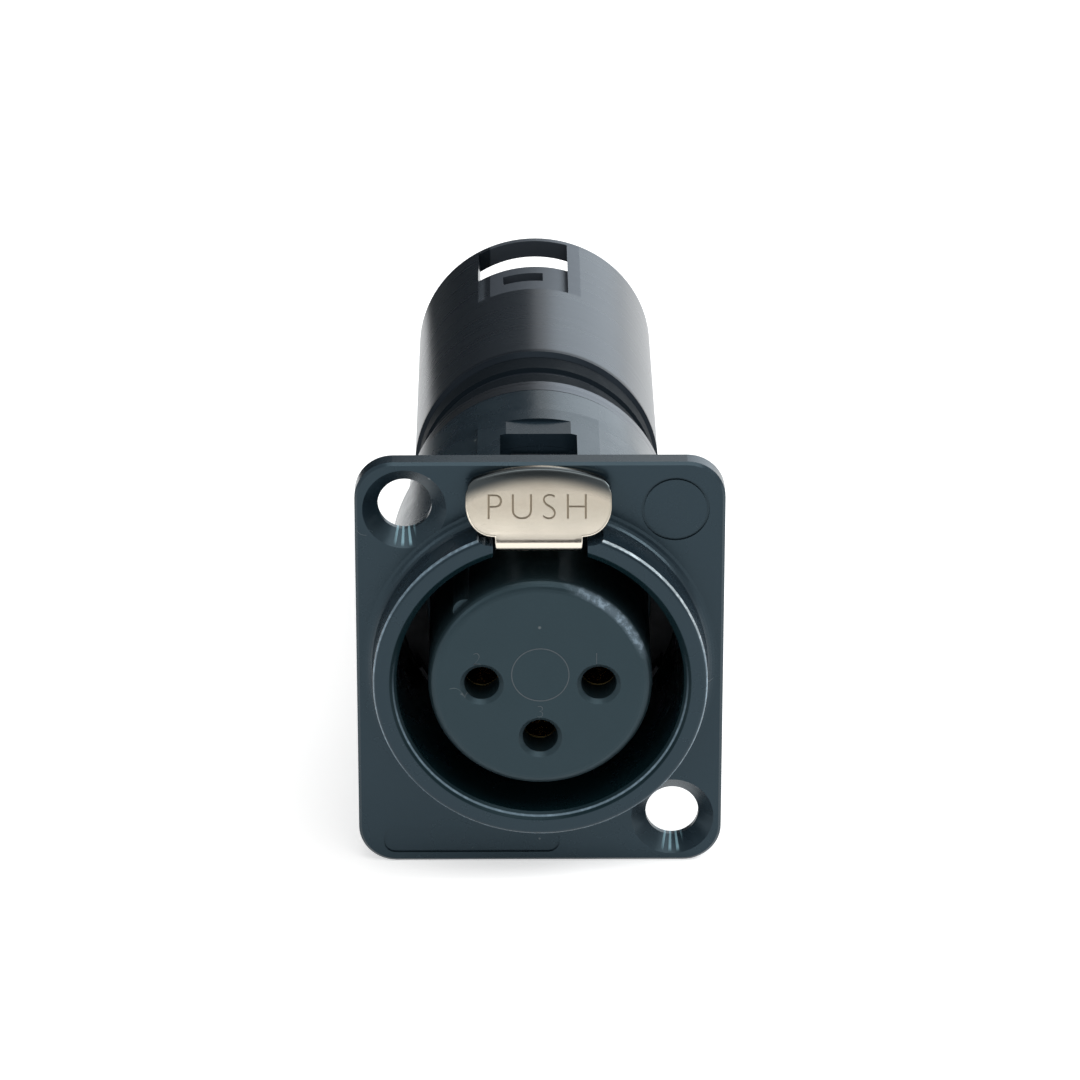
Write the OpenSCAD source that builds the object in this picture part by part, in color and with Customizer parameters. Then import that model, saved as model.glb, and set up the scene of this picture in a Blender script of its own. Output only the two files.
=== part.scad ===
// Panel feed-through for three-pole microphone plugs: a socket with a latch in a
// rectangular flange, and a plug shell with three pins on the back of the same body.
// Lengths are in millimetres. The panel seats on the back face of the flange, at y = 0.
// The socket faces -Y, the plug shell points along +Y, and +Z is up.

/* [Flange] */
// Width of the flange
flange_w = 26; // [24.4:0.1:32]
// Height of the flange
flange_h = 31; // [29:0.5:38]
// Thickness of the flange
flange_t = 1.5; // [1.3:0.1:3]
// Radius of the flange corners
flange_corner_r = 2.7; // [1.5:0.1:3.2]
// Bevel round the front edge of the flange
flange_bevel = 0.2; // [0.1:0.05:0.6]
// Distance of the screw holes from the edges of the flange
screw_inset = 3.5; // [3.2:0.1:3.8]
// Radius of the screw holes
screw_r = 1.9; // [1.5:0.05:2]
// Radius of the countersinks at the front face
sink_r = 2.95; // [2.4:0.05:3]
// Depth of the outlines that are cast into the front face
mark_depth = 0.15; // [0.1:0.05:0.3]

/* [Socket collar] */
// Outer radius of the collar in front of the flange
collar_r = 11.8; // [11.4:0.1:12]
// Distance that the collar stands in front of the flange
collar_out = 3.3; // [2.5:0.1:5]
// Radius of the bore that takes the plug's shell
socket_r = 10.15; // [10:0.05:10.3]
// Depth of that bore
socket_depth = 14.5; // [14:0.5:16]
// Bevel at the mouth of the bore
mouth_bevel = 0.45; // [0.2:0.05:0.6]
// Fillet between the collar and the flange
collar_fillet = 0.8; // [0.4:0.1:1]

/* [Body behind the flange] */
// Radius of the body just behind the flange
body_r = 11.6; // [11.5:0.05:11.8]
// Radius of the same stretch at its back end
body_back_r = 10.9; // [10.7:0.05:11.1]
// Length of that stretch
body_len = 18.9; // [17:0.1:21]
// Radius of the stepped part behind it
step_r = 10; // [9.8:0.05:10.4]
// Length of the stepped part
step_len = 7.8; // [5:0.1:10]
// Radius of the bore behind the ledge
chamber_r = 9; // [8.8:0.05:9.1]
// Thickness of the ledge between the two bores
ledge_t = 2; // [1.5:0.1:2.5]
// Width of the raised housing over the latch
hump_w = 8.9; // [8:0.1:10]
// Radius of the top of that housing
hump_r = 11.35; // [11.2:0.05:11.5]
// Width of the open slot in the housing
slot_w = 5.6; // [5.4:0.1:6]
// Length of the slot behind the flange
slot_len = 14.7; // [13.8:0.1:15]

/* [Latch] */
// Width of the tab that is pressed
tab_w = 10.2; // [9:0.1:11]
// Gap between the top of the tab and the top edge of the flange
tab_drop = 0.1; // [0:0.1:1]
// Thickness of the sheet metal
sheet_t = 0.75; // [0.6:0.05:0.8]
// Radius of the rolled edge that the latch rocks on
roll_r = 0.9; // [0.7:0.05:1]
// Width of the arm behind the tab
arm_w = 4.8; // [4:0.1:5]
// Distance that the hook reaches below the arm
hook_drop = 1.05; // [0.8:0.05:1.2]
// Thickness of the leaf spring
leaf_t = 0.25; // [0.2:0.05:0.35]
// Width of the leaf spring
leaf_w = 4; // [3:0.1:4.6]

/* [Inserts and contacts] */
// Radius of the socket's insulator
insert_r = 7.9; // [7.7:0.05:8]
// Distance of each contact from the axis
contact_ring_r = 4.12; // [3.9:0.02:4.3]
// Radius of the pins
pin_r = 1.2; // [1.15:0.01:1.22]
// Radius of the bore of a socket contact
contact_bore_r = 1.25; // [1.24:0.01:1.27]
// Outer radius of a socket contact
contact_r = 1.6; // [1.55:0.05:1.8]
// Distance of the pin tips inside the rim of the plug shell
pin_setback = 1.5; // [0.5:0.1:3]
// Radius of the joining wires
wire_r = 0.5; // [0.3:0.05:0.6]
// Clearance between parts that plug together
clear = 0.05; // [0.03:0.01:0.08]

/* [Plug shell] */
// Outer radius of the plug shell
shell_r = 9.4; // [9.3:0.05:9.5]
// Length of the plug shell
shell_len = 26; // [24:0.5:32]
// Radius of the bore of the plug shell
shell_bore_r = 8.05; // [8:0.05:8.15]
// Depth of the open part of that bore
shell_depth = 15.8; // [15:0.1:17]
// Outer radius of the seal rings
seal_r = 9.15; // [9:0.05:9.3]
// Turn of the plug shell about its axis, in degrees
shell_turn = -6.5; // [-10:0.5:10]
// Width of the recess for the mating latch
recess_w = 7.2; // [6:0.1:8]
// Depth of that recess
recess_depth = 0.55; // [0.4:0.05:0.7]
// Length of that recess
recess_len = 12; // [11:0.5:14]

/* [Hidden] */
$fn = 64;

// Stations along Y, from the front to the back
flange_y = -flange_t;
front_y = flange_y - collar_out;
ledge_y = front_y + socket_depth;
seat_y = ledge_y + ledge_t;
shoulder_t = 2.5;
retainer_t = 2;
retainer_y = seat_y + shoulder_t;
neck_y = retainer_y + retainer_t;
step_y = body_len + step_len;
ring_gap = 0.2;
ring_t = 2.2;
ring_y = step_y + ring_t;
groove_y = ring_y + ring_gap;
rib_t = 0.6;
seal_t = 2.8;
shell_y = groove_y + 2 * seal_t + rib_t;
shell_end = shell_y + shell_len;
male_t = 7.5;
male_face_y = shell_end - shell_depth;
clip_t = 0.7;
male_y = male_face_y - clip_t - male_t;
pin_tip_y = shell_end - pin_setback;

// Radii of the pieces that nest, and the gap between those that are pressed together
seat_gap = 0.02;
neck_r = chamber_r - clear;
neck_bore_r = 7.3;
groove_r = 8.2;
ring_r = step_r - 0.2;
shoulder_r = chamber_r - clear;
male_r = shell_bore_r - clear;

// Edges, and how far a cut reaches past what it cuts
edge = 0.35;
over = 1;

// Screw holes, on one diagonal of the flange
screw_x = flange_w / 2 - screw_inset;
screw_z = flange_h / 2 - screw_inset;

// Latch, measured in the plane x = 0
pivot_y = flange_y - clear - roll_r;
pivot_z = flange_h / 2 - tab_drop - roll_r;
notch_w = slot_w + 1;
arm_z = socket_r + sheet_t / 2 - 0.15;
arm_top = arm_z + sheet_t / 2;
bend_y = front_y + 0.5 * sheet_t + 0.1;
tab_low_z = arm_top + 0.25;
tab_h = pivot_z + roll_r - tab_low_z;
crown_rise = 0.32 * tab_h;
tab_crown_r = (tab_w * tab_w / 4 + crown_rise * crown_rise) / (2 * crown_rise);
tab_side_r = 0.28 * tab_h;
tab_low_r = 0.4 * tab_h;
tab_neck_r = 0.7;
tab_knee_z = tab_low_z + 0.2 * tab_h;
roll_bore_r = roll_r - sheet_t + clear;
roll_from = -20;
roll_to = 170;
arm_end = ledge_y - 2.5;
hook_back = arm_end - 1;
hook_len = 1.2;
hook_ramp = 1.3;
slot_floor = chamber_r + 0.4;
window_top = arm_top + 0.8;

// Keys on the socket's insulator and in the plug shell
key_angle = 135;
key_r = 0.9;
key_reach = insert_r - 0.5;

// Contacts
contact_angles = [0, 180, 270];
lip_t = 2.6;
lip_r = contact_bore_r;
contact_y = front_y + lip_t;
contact_bore_len = 13;
contact_collar_r = 2;
contact_collar_t = 1.5;
tail_r = 0.95;
cup_len = 3;
cup_end = neck_y + cup_len;
cup_r = wire_r + 2 * clear;
pin_cup_len = 2.2;
pin_cup_y = male_y - 2.5;
wire_in_cup = 1.5;
sleeve_gap = 0.4;
pin_collar_r = 1.9;
pin_root_r = 1.5;
sleeve_r = 0.95;

// Points on an arc
function arc(cx, cy, r, a0, a1, n = 4) =
    [for (i = [0:n]) let (a = a0 + (a1 - a0) * i / n) [cx + r * cos(a), cy + r * sin(a)]];

// Place of contact i across the axis, after a turn about the axis
function contact_at(i, turn = 0) =
    let (a = contact_angles[i - 1] - turn) [contact_ring_r * cos(a), contact_ring_r * sin(a)];

// Round bar along Y
module bar(r, y0, y1) {
    translate([0, y0, 0]) rotate([-90, 0, 0]) cylinder(r = r, h = y1 - y0);
}

// Turned shape: each point is a radius and a place along Y
module turned(points) {
    rotate([-90, 0, 0]) rotate_extrude() polygon(points);
}

// Ring along Y
module ring(r0, r1, y0, y1) {
    turned([[r0, y0], [r1, y0], [r1, y1], [r0, y1]]);
}

// Outline in the Y-Z plane, as thick as w along X
module side_on(w) {
    translate([-w / 2, 0, 0]) rotate([90, 0, 90]) linear_extrude(w) children();
}

// Outline in the X-Z plane, from y0 to y1
module front_on(y0, y1) {
    translate([0, y1, 0]) rotate([90, 0, 0]) linear_extrude(y1 - y0) children();
}

// Box that is centred across X
module block(w, y0, y1, z0, z1) {
    translate([-w / 2, y0, z0]) cube([w, y1 - y0, z1 - z0]);
}

// Outline of a strip of sheet, t thick, along the points of its middle line
function unit(v) = v / norm(v);
function left_of(v) = [-v[1], v[0]];
function strip_outline(p, t) =
    let (
        last = len(p) - 1,
        turn = [for (i = [0:last])
            let (
                a = left_of(unit(p[max(i, 1)] - p[max(i, 1) - 1])),
                b = left_of(unit(p[min(i, last - 1) + 1] - p[min(i, last - 1)]))
            )
            (a + b) / (1 + a * b)]
    )
    concat(
        [for (i = [0:last]) p[i] + turn[i] * t / 2],
        [for (i = [last:-1:0]) p[i] - turn[i] * t / 2]
    );

// Straight rod between two points
module rod(p, q, r) {
    d = q - p;
    translate(p)
        rotate([0, acos(d[2] / norm(d)), atan2(d[1], d[0])])
            cylinder(r = r, h = norm(d), $fn = 24);
}

// Plate with round corners and a bevelled front edge
module flange_blank() {
    hw = flange_w / 2;
    hh = flange_h / 2;
    r = flange_corner_r;
    b = flange_bevel;
    side_on(flange_w - 2 * r)
        polygon([[0, -hh], [0, hh], [flange_y + b, hh], [flange_y, hh - b], [flange_y, b - hh], [flange_y + b, -hh]]);
    translate([0, 0, r - hh])
        linear_extrude(flange_h - 2 * r)
            polygon([[-hw, 0], [hw, 0], [hw, flange_y + b], [hw - b, flange_y], [b - hw, flange_y], [-hw, flange_y + b]]);
    for (sx = [-1, 1], sz = [-1, 1])
        translate([sx * (hw - r), 0, sz * (hh - r)])
            turned([[0, 0], [r, 0], [r, flange_y + b], [r - b, flange_y], [0, flange_y]]);
}

// Collar, with its fillet on the flange and its rounded outer edge
module collar() {
    f = collar_fillet;
    turned(concat(
        [[0, flange_y], [collar_r + f, flange_y]],
        arc(collar_r + f, flange_y - f, f, 90, 180, 6),
        arc(collar_r - edge, front_y + edge, edge, 0, -90, 6),
        [[0, front_y]]
    ));
}

// Drafted drum behind the flange, which also fills the flange's hole, and the latch housing
module drum() {
    turned([
        [0, flange_y], [body_r, flange_y], [body_r, 0],
        [body_back_r, body_len - edge], [body_back_r - edge, body_len], [0, body_len]
    ]);
    intersection() {
        bar(hump_r, 0, body_len);
        block(hump_w, -over, body_len + over, 0, hump_r + over);
    }
}

// Screw hole with a cone at the front face
module screw_hole() {
    cone = sink_r - screw_r;
    turned([
        [0, flange_y - over], [sink_r, flange_y - over], [sink_r, flange_y],
        [screw_r, flange_y + cone], [screw_r, over], [0, over]
    ]);
}

// Outlines cast into the front face: a second hole place and a bare label field
module face_marks() {
    mark_r = 2.4;
    label_w = 12.6;
    label_h = 2;
    label_side = 1.8;
    label_low = 0.7;
    label_corner_r = 0.8;
    translate([screw_x, 0, screw_z])
        ring(mark_r - 0.2, mark_r, flange_y - over, flange_y + mark_depth);
    translate([label_side - flange_w / 2, 0, label_low - flange_h / 2])
        front_on(flange_y - over, flange_y + mark_depth)
            polygon(concat(
                arc(label_w - label_corner_r, label_h - label_corner_r, label_corner_r, 0, 90),
                arc(label_corner_r, label_h - label_corner_r, label_corner_r, 90, 180),
                arc(label_corner_r, label_corner_r, label_corner_r, 180, 270),
                arc(label_w - label_corner_r, label_corner_r, label_corner_r, 270, 360)
            ));
}

// Open way for the latch: window behind the tab, up to a height, and slot in the drum and the sleeve
module latch_way(top) {
    block(notch_w, flange_y - over, over, insert_r, top);
    block(slot_w, 0, slot_len, slot_floor, body_r + over);
}

module flange_plate() {
    color("#2b2f33")
    difference() {
        flange_blank();
        bar(body_r + seat_gap, flange_y - over, over);
        latch_way(window_top);
        translate([-screw_x, 0, screw_z]) screw_hole();
        translate([screw_x, 0, -screw_z]) screw_hole();
        face_marks();
    }
}

// Room in the collar round the lower part of the tab, deep enough for it to be pressed
module tab_room() {
    side = tab_w / 2 + 0.15;
    low = tab_low_z - 0.4;
    top = collar_r + collar_fillet + over;
    r = tab_low_r + 0.15;
    front_on(front_y - over, flange_y)
        polygon(concat(
            [[-side, top]],
            arc(r - side, low + r, r, 180, 270, 6),
            arc(side - r, low + r, r, 270, 360, 6),
            [[side, top]]
        ));
}

module flange_shell() {
    b = mouth_bevel;
    flat_setback = 1.8;
    flat_depth = 0.25;
    color("#2b2f33")
    difference() {
        union() {
            collar();
            drum();
        }
        turned([[0, front_y - over], [socket_r + b, front_y - over], [socket_r + b, front_y],
            [socket_r, front_y + b], [socket_r, body_len + over], [0, body_len + over]]);
        latch_way(body_r + over);
        block(slot_w, 0, ledge_y + over, insert_r, body_r + over);
        // Notch in the collar for the arm, and room for the tab above it
        block(notch_w, front_y - over, flange_y, insert_r, collar_r + over);
        tab_room();
        // Sunken flat on the housing, behind the slot
        block(hump_w - 2.6, slot_len - over, body_len - flat_setback, hump_r - flat_depth, hump_r + over);
    }
}

// Sleeve pressed into the drum: its ledge holds the insulator, and its back end is the stepped part
module chamber_sleeve() {
    out = socket_r - seat_gap;
    color("#2b2f33")
    difference() {
        turned([
            [0, ledge_y], [out, ledge_y], [out, body_len], [step_r, body_len],
            [step_r - 0.1, step_y - edge], [step_r - edge, step_y], [0, step_y]
        ]);
        bar(insert_r + clear, ledge_y - over, seat_y + over);
        rotate([0, -key_angle, 0]) translate([key_reach, 0, 0]) bar(key_r + clear, ledge_y - over, seat_y + over);
        bar(chamber_r, seat_y, step_y + over);
        latch_way(window_top);
    }
}

// Right half of the latch's front outline: crown, corners, concave shoulder and arm
function latch_half() =
    let (
        hw = tab_w / 2,
        corner_x = hw - tab_side_r,
        crown_z = pivot_z + roll_r - tab_crown_r,
        corner_z = crown_z + sqrt(pow(tab_crown_r - tab_side_r, 2) - pow(corner_x, 2)),
        turn = atan2(corner_z - crown_z, corner_x),
        arm_x = arm_w / 2
    )
    concat(
        arc(0, crown_z, tab_crown_r, 90, turn, 8),
        arc(corner_x, corner_z, tab_side_r, turn - 12, 0, 5),
        arc(hw - tab_low_r, tab_low_z + tab_low_r, tab_low_r, 0, -90, 6),
        arc(arm_x + tab_neck_r, tab_low_z - tab_neck_r, tab_neck_r, 90, 180, 5),
        [[arm_x, arm_z - sheet_t - hook_drop]]
    );

module latch_outline() {
    half = latch_half();
    last = len(half) - 1;
    polygon(concat(half, [for (i = [last:-1:1]) [-half[i][0], half[i][1]]]));
}

// Side view of the latch: rolled edge, sloping tab, bend, arm and hook
module latch_profile() {
    bend_r = 0.5;
    low = arm_z - sheet_t / 2;
    root = arm_z + 0.1;
    polygon(strip_outline(concat(
        arc(pivot_y, pivot_z, roll_r - sheet_t / 2, roll_from, roll_to, 8),
        [[bend_y, tab_knee_z]],
        arc(bend_y + bend_r, arm_z + bend_r, bend_r, 180, 270, 4),
        [[arm_end, arm_z]]
    ), sheet_t));
    polygon([
        [hook_back, root], [hook_back, low - hook_drop], [hook_back - hook_len, low - hook_drop],
        [hook_back - hook_len - hook_ramp, low], [hook_back - hook_len - hook_ramp, root]
    ]);
}

module latch_lever() {
    color("#c9bfae")
    intersection() {
        difference() {
            side_on(tab_w + over) latch_profile();
            // Round hollow of the rolled edge, on the axis that the latch rocks about
            translate([-tab_w, pivot_y, pivot_z]) rotate([0, 90, 0]) cylinder(r = roll_bore_r, h = 2 * tab_w);
        }
        front_on(front_y - over, arm_end + over) latch_outline();
    }
}

// Leaf that holds the latch down, clipped to the floor of the slot
module latch_spring() {
    foot = slot_floor + leaf_t / 2;
    color("#4a4f57")
    side_on(leaf_w)
        polygon(strip_outline([
            [slot_len - 0.3, foot], [ledge_y + 1.1, foot], [ledge_y - 0.4, foot + 0.75],
            [arm_end + 0.75, arm_z + 0.2], [arm_end + 0.3, arm_z - 0.15], [arm_end + 0.5, arm_z - 0.5]
        ], leaf_t));
}

// Washer at the bottom of the plug's bore, with fingers that touch the plug's shell
module earth_spring() {
    washer_t = 0.3;
    finger_l = 3;
    finger_w = 1.8;
    finger_t = 0.25;
    tip_in = 0.45;
    out = socket_r - clear;
    base = out - 0.1;
    color("#b9b2a2")
    union() {
        difference() {
            ring(insert_r + 0.25, out, ledge_y - washer_t, ledge_y);
            rotate([0, -key_angle, 0]) translate([key_reach, 0, 0]) bar(key_r + 0.2, ledge_y - over, ledge_y + over);
            block(slot_w, ledge_y - over, ledge_y + over, 0, socket_r + over);
        }
        for (a = [150:60:390])
            rotate([0, -a, 0])
                translate([0, 0, -finger_w / 2])
                    linear_extrude(finger_w)
                        polygon([
                            [base, ledge_y], [base - finger_t, ledge_y - finger_l + over],
                            [base - tip_in, ledge_y - finger_l], [base - tip_in - finger_t, ledge_y - finger_l],
                            [base - 2 * finger_t, ledge_y - finger_l + over], [base - finger_t, ledge_y]
                        ]);
    }
}

module female_insert() {
    r = insert_r;
    round_r = 0.8;
    color("#26292c")
    difference() {
        union() {
            turned(concat(
                [[0, front_y]], arc(r - round_r, front_y + round_r, round_r, -90, 0, 6),
                [[r, seat_y], [shoulder_r, seat_y], [shoulder_r, retainer_y], [0, retainer_y]]
            ));
            rotate([0, -key_angle, 0]) translate([key_reach, 0, 0]) bar(key_r, front_y + over, seat_y);
        }
        for (i = [1:3]) {
            p = contact_at(i);
            translate([p[0], 0, p[1]])
                turned([
                    [0, front_y - over], [lip_r + 0.3, front_y - over], [lip_r + 0.3, front_y],
                    [lip_r, front_y + 0.3], [lip_r, contact_y], [contact_r + clear, contact_y],
                    [contact_r + clear, retainer_y - contact_collar_t], [contact_collar_r + clear, retainer_y - contact_collar_t],
                    [contact_collar_r + clear, retainer_y + over], [0, retainer_y + over]
                ]);
        }
    }
}

// Disc that holds the socket contacts in the insulator
module contact_retainer() {
    color("#3a3d40")
    difference() {
        bar(shoulder_r, retainer_y, neck_y);
        for (i = [1:3]) {
            p = contact_at(i);
            translate([p[0], 0, p[1]]) bar(tail_r + clear, retainer_y - over, neck_y + over);
        }
    }
}

// Turned socket contact with a slit sleeve and a solder cup
module socket_contact(i) {
    p = contact_at(i);
    slit = 0.35;
    slit_len = 9;
    lead_in = 0.2;
    r = contact_bore_r;
    color("#c9a24b")
    translate([p[0], 0, p[1]])
    difference() {
        turned([
            [0, contact_y], [contact_r, contact_y], [contact_r, retainer_y - contact_collar_t],
            [contact_collar_r, retainer_y - contact_collar_t], [contact_collar_r, retainer_y],
            [tail_r, retainer_y], [tail_r, cup_end], [0, cup_end]
        ]);
        turned([[0, contact_y - over], [r + lead_in, contact_y - over], [r + lead_in, contact_y], [r, contact_y + lead_in],
            [r, contact_y + contact_bore_len], [0, contact_y + contact_bore_len]]);
        bar(cup_r, cup_end - cup_len, cup_end + over);
        block(slit, contact_y - over, contact_y + slit_len, 0, contact_r + over);
    }
}

// Mouths of the two cups that joining wire i runs between
function wire_mouths(i) =
    let (p = contact_at(i), q = contact_at(i, shell_turn))
    [[p[0], cup_end, p[1]], [q[0], pin_cup_y, q[1]]];

module link_wire(i) {
    w = wire_mouths(i);
    reach = wire_in_cup * (w[1] - w[0]) / norm(w[1] - w[0]);
    color("#b56b3a")
    rod(w[0] - reach, w[1] + reach, wire_r);
}

module wire_sleeve(i) {
    w = wire_mouths(i);
    gap = sleeve_gap * (w[1] - w[0]) / norm(w[1] - w[0]);
    color(i == 1 ? "#3f7a4a" : i == 2 ? "#b03a32" : "#3b62a8")
    difference() {
        rod(w[0] + gap, w[1] - gap, sleeve_r);
        rod(w[0], w[1], wire_r + clear);
    }
}

// Solid pin with a round nose, a root inside the insulator and a solder cup
module pin_contact(i) {
    p = contact_at(i, shell_turn);
    nose = 0.8;
    mid = male_y + male_t / 2;
    color("#c9a24b")
    translate([p[0], 0, p[1]])
    difference() {
        turned(concat(
            [[0, pin_cup_y], [pin_root_r, pin_cup_y], [pin_root_r, mid - 1], [pin_collar_r, mid - 1], [pin_collar_r, mid + 1],
                [pin_root_r, mid + 1], [pin_root_r, male_face_y - clip_t], [pin_r, male_face_y - clip_t]],
            arc(pin_r - nose, pin_tip_y - nose, nose, 0, 90, 5),
            [[0, pin_tip_y]]
        ));
        bar(cup_r, pin_cup_y - over, pin_cup_y + pin_cup_len);
    }
}

// Insulator moulded round the three pins
module male_insert() {
    mid = male_y + male_t / 2;
    color("#26292c")
    difference() {
        bar(male_r, male_y, male_face_y - clip_t);
        for (i = [1:3]) {
            p = contact_at(i, shell_turn);
            translate([p[0], 0, p[1]]) {
                bar(pin_root_r, male_y - over, male_face_y);
                bar(pin_collar_r, mid - 1, mid + 1);
            }
        }
    }
}

// Split ring that keeps the insulator in the plug shell
module insert_clip() {
    color("#8d9196")
    rotate([0, shell_turn, 0])
    difference() {
        ring(shell_bore_r - 0.75, shell_bore_r + 0.35, male_face_y - clip_t, male_face_y);
        block(3, male_face_y - clip_t - over, male_face_y + over, -shell_bore_r - over, -insert_r + 1.5);
    }
}

// Recess, see-through window and small hole for the mating latch
module latch_window() {
    bridge_t = 1;
    window_l = 4.5;
    hole_w = 3.2;
    hole_l = 1.75;
    hole_setback = 8.7;
    hole_y = shell_end - hole_setback;
    recess_y = shell_end - recess_len;
    bridge_y = shell_end - bridge_t;
    intersection() {
        ring(shell_r - recess_depth, shell_r + over, recess_y, bridge_y);
        block(recess_w, recess_y, bridge_y, 0, shell_r + over);
    }
    block(recess_w, bridge_y - window_l, bridge_y, shell_bore_r - 2, shell_r + over);
    block(hole_w, hole_y, hole_y + hole_l, shell_bore_r - 2, shell_r + over);
}

module rear_shell() {
    g = groove_r;
    s = shell_r;
    b = mouth_bevel;
    bore = shell_bore_r;
    rib_y = groove_y + seal_t;
    rib_r = seal_r - 0.25;
    color("#5b6066")
    rotate([0, shell_turn, 0])
    difference() {
        turned([
            [neck_bore_r, neck_y], [neck_r - edge, neck_y], [neck_r, neck_y + edge], [neck_r, groove_y],
            [g, groove_y], [g, rib_y], [rib_r, rib_y], [rib_r, rib_y + rib_t], [g, rib_y + rib_t], [g, shell_y],
            [s - edge, shell_y], [s, shell_y + edge], [s, shell_end - edge], [s - edge, shell_end],
            [bore + b, shell_end], [bore, shell_end - b], [bore, male_y], [neck_bore_r, male_y]
        ]);
        // Groove for the clip
        ring(bore - over, bore + 0.4, male_face_y - clip_t, male_face_y);
        // Keyway, upper left
        rotate([0, -key_angle, 0]) translate([key_reach + 0.2, 0, 0]) bar(key_r, male_face_y, shell_end + over);
        latch_window();
    }
}

module lock_ring() {
    bevel = 0.5;
    inner = neck_r + clear;
    color("#9aa0a6")
    turned([
        [inner, step_y], [ring_r, step_y], [ring_r, ring_y - bevel], [ring_r - bevel, ring_y], [inner, ring_y]
    ]);
}

// Rubber ring with round shoulders, from y0
module seal(y0) {
    r = seal_r;
    e = edge;
    color("#191b1d")
    turned([
        [groove_r, y0], [r - e, y0], [r, y0 + e], [r, y0 + seal_t - e], [r - e, y0 + seal_t], [groove_r, y0 + seal_t]
    ]);
}

module front_seal() {
    seal(groove_y);
}

module rear_seal() {
    seal(groove_y + seal_t + rib_t);
}

flange_plate();
flange_shell();
chamber_sleeve();
latch_lever();
latch_spring();
earth_spring();
female_insert();
contact_retainer();
socket_contact(1);  // socket_contact_1
socket_contact(2);  // socket_contact_2
socket_contact(3);  // socket_contact_3
link_wire(1);  // link_wire_1
link_wire(2);  // link_wire_2
link_wire(3);  // link_wire_3
wire_sleeve(1);  // wire_sleeve_1
wire_sleeve(2);  // wire_sleeve_2
wire_sleeve(3);  // wire_sleeve_3
pin_contact(1);  // pin_contact_1
pin_contact(2);  // pin_contact_2
pin_contact(3);  // pin_contact_3
male_insert();
insert_clip();
rear_shell();
lock_ring();
front_seal();
rear_seal();
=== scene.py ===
"""Looks of a panel feed-through connector: a latched socket in front, a pin plug behind."""
import math

import bpy
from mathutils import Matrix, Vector


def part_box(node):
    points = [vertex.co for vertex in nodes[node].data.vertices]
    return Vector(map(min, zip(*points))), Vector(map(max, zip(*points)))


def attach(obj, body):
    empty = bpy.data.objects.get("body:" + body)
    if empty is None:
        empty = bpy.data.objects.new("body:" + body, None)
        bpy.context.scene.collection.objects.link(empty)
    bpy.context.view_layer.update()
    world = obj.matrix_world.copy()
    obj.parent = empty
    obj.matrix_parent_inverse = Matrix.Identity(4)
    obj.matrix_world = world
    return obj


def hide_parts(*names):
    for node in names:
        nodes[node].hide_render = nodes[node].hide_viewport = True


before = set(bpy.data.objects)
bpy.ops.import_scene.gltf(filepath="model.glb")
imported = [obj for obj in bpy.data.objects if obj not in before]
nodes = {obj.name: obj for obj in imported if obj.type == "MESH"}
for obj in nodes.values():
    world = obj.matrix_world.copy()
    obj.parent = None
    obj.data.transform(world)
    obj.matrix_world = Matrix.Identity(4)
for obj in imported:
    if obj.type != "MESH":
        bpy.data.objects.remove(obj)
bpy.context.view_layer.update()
scene = bpy.context.scene

MM = 0.001
TINY = 1e-6

# The photograph, in pixels of its 1080 by 1080 frame, and the camera that was fitted to it
PHOTO_SIDE = 1080
SENSOR = 36.0
FOCAL_PX = 5217
FLANGE_PX = (540.3, 665.0)
SIGHT_DOWN = math.radians(24.7)
SIGHT_LEFT = math.radians(0.4)
SIGHT_RANGE = 0.370

# Lamps: name, place, size, power and tint
LAMP_AIM = (0, 0.02, 0)
LAMPS = (
    ("key_back_right", (0.26, 0.62, 0.2), (0.42, 0.4), 0.55, (0.78, 0.9, 1.0)),
    ("key_right", (0.55, 0.1, 0.44), (0.36, 0.36), 3.0, (0.97, 0.99, 1.0)),
    ("top_front", (0.1, -0.2, 0.62), (0.5, 0.5), 1.8, (1, 1, 0.98)),
    ("front_left", (-0.5, -0.5, 0.25), (0.3, 0.3), 0.6, (0.95, 0.97, 1.0)),
)
WORLD_DIFFUSE = 0.35
WORLD_GLOSSY = 0.8
FLOOR_GLOW = 0.55

# The levels that a noise mostly stays between
NOISE_LOW = 0.3
NOISE_HIGH = 0.7

# The body, in millimetres
FRONT_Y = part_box("flange_shell")[0].y / MM
FLOOR_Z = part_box("flange_plate")[0].z / MM
FLANGE_Y = -1.5
SCREW_X = 9.5
SCREW_Z = 12.0
RECESS_HALF = 3.6
RECESS_Y = 49.3
GATE_R = 2.05
GATE_Z = 0.75
GATE_LINE = 0.07
GATE_RISE = 0.01
NUMERAL_SIZE = 1.35
NUMERAL_DEPTH = 0.06
NUMERAL_SINK = 0.02
NUMERALS = ((1, 3.95, 1.95), (2, -4.45, 1.95), (3, 0.0, -2.15))

# The latch's tab, in millimetres and degrees
TAB_W = 10.2
TAB_TOP = 15.4
TAB_LOW = 11.25
CROWN_R = 14.0
CROWN_Z = TAB_TOP - CROWN_R
HIGH_CORNER_R = 1.15
LOW_CORNER_R = 1.9
CORNER_STEPS = 12
KNEE_Z = 10.98
SKIN_TOP_Y = -2.3
SKIN_STEPS = 24
FOLD_Y = -1.56
LEAN_TOP = 19
LEAN = 32
LEAN_FROM = 0.3
LEAN_OVER = 1.3
SIDE_PLAY = -0.1

# The upper corners' centre and turn, and how far down them the top edge is folded back
HIGH_X = TAB_W / 2 - HIGH_CORNER_R
HIGH_Z = CROWN_Z + math.sqrt((CROWN_R - HIGH_CORNER_R) ** 2 - HIGH_X ** 2)
HIGH_TURN = math.atan2(HIGH_Z - CROWN_Z, HIGH_X)
FOLD_LOW = HIGH_Z + HIGH_CORNER_R * math.sin(HIGH_TURN * 0.35)

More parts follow.
